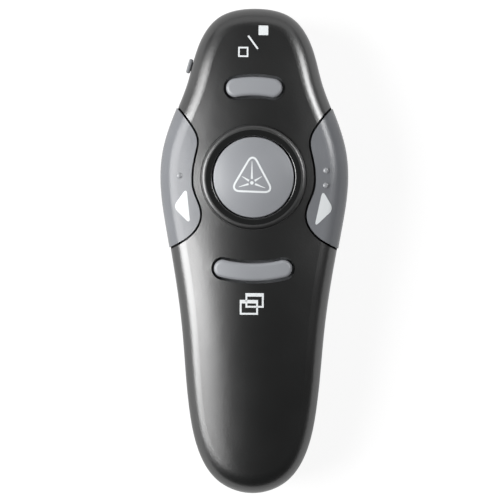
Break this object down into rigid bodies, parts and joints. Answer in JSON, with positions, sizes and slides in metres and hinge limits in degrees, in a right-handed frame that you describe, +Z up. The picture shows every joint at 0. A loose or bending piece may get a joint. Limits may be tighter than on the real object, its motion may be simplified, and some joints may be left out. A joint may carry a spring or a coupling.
{
  "type": "wireless presentation clicker",
  "caption": "Slim hand-held presentation clicker: round thumb button in a raised ring, curved bar buttons, wrap-around side keys and a sliding battery door.",
  "frame": {"origin": "on the table under the middle of the body's length and width", "axes": "+Y from the tail to the nose the laser leaves from, +X to the user's right, +Z up from the table"},
  "size_m": [0.0408, 0.105, 0.0251],
  "materials": {
    "black_abs": "satin fine-grained black ABS",
    "grey_abs": "satin mid-grey ABS",
    "dark_grey_abs": "matte dark grey ABS",
    "black_nylon": "matte black nylon",
    "stem_plastic": "natural acetal",
    "zinc_screw": "zinc-plated steel",
    "black_screw": "blackened steel",
    "switch_steel": "stainless sheet",
    "spring_steel": "nickel-plated spring steel",
    "plug_steel": "stainless sheet",
    "solder_mask": "green solder mask over glass epoxy",
    "chip_epoxy": "black moulding compound",
    "ceramic_part": "ceramic chip parts",
    "copper_track": "gold-plated copper",
    "laser_brass": "turned brass",
    "clear_acrylic": "clear acrylic",
    "lens_glass": "moulded lens",
    "lead_pvc": "PVC-covered wire",
    "cell_sleeve": "printed battery sleeve",
    "tongue_plastic": "white liquid-crystal polymer"
  },
  "bodies": {
    "case": {"upper_shell": "black_abs", "lower_shell": "black_abs", "case_screws": "black_screw", "laser_window": "clear_acrylic", "tact_switch_bases": "black_nylon", "tact_switch_covers": "switch_steel", "circuit_board": "solder_mask", "board_screws": "zinc_screw", "radio_chip": "chip_epoxy", "crystal": "switch_steel", "board_passives": "ceramic_part", "antenna_trace": "copper_track", "power_switch_body": "switch_steel", "laser_barrel": "laser_brass", "laser_lens": "lens_glass", "laser_driver_board": "solder_mask", "laser_leads": "lead_pvc", "battery_sleeves": "cell_sleeve", "battery_terminals": "spring_steel", "contact_springs": "spring_steel", "positive_contact": "spring_steel", "negative_contact": "spring_steel", "bridge_contact": "spring_steel", "receiver_grip": "black_abs", "receiver_plug_shell": "plug_steel", "receiver_tongue": "tongue_plastic", "receiver_contacts": "copper_track"},
    "laser_control": {"laser_button": "grey_abs", "laser_switch_stem": "stem_plastic"},
    "blank_screen_control": {"blank_screen_button": "grey_abs", "blank_screen_switch_stem": "stem_plastic"},
    "slideshow_control": {"slideshow_button": "grey_abs", "slideshow_switch_stem": "stem_plastic"},
    "previous_control": {"previous_key": "grey_abs", "previous_key_switch_stem": "stem_plastic"},
    "next_control": {"next_key": "grey_abs", "next_key_switch_stem": "stem_plastic"},
    "power_slider": {"power_knob": "dark_grey_abs", "power_switch_lever": "stem_plastic"},
    "battery_cover": {"battery_door": "black_abs"}
  },
  "joints": [
    {"name": "laser_button_press", "type": "slide", "parent": "case", "child": "laser_control", "axis": [0, 0, -1], "range_m": [0, 0.0004], "stiffness_N_per_m": 300, "springref_m": -0.0004},
    {"name": "blank_screen_button_press", "type": "slide", "parent": "case", "child": "blank_screen_control", "axis": [0, 0, -1], "range_m": [0, 0.0004], "stiffness_N_per_m": 300, "springref_m": -0.0004},
    {"name": "slideshow_button_press", "type": "slide", "parent": "case", "child": "slideshow_control", "axis": [0, 0, -1], "range_m": [0, 0.0004], "stiffness_N_per_m": 300, "springref_m": -0.0004},
    {"name": "previous_key_press", "type": "slide", "parent": "case", "child": "previous_control", "axis": [0, 0, -1], "range_m": [0, 0.0004], "stiffness_N_per_m": 300, "springref_m": -0.0004},
    {"name": "next_key_press", "type": "slide", "parent": "case", "child": "next_control", "axis": [0, 0, -1], "range_m": [0, 0.0004], "stiffness_N_per_m": 300, "springref_m": -0.0004},
    {"name": "power_switch_slide", "type": "slide", "parent": "case", "child": "power_slider", "axis": [-0.2642, -0.9645, 0], "range_m": [0, 0.002]},
    {"name": "battery_door_slide", "type": "slide", "parent": "case", "child": "battery_cover", "axis": [0, -1, 0], "range_m": [0, 0.084]}
  ]
}
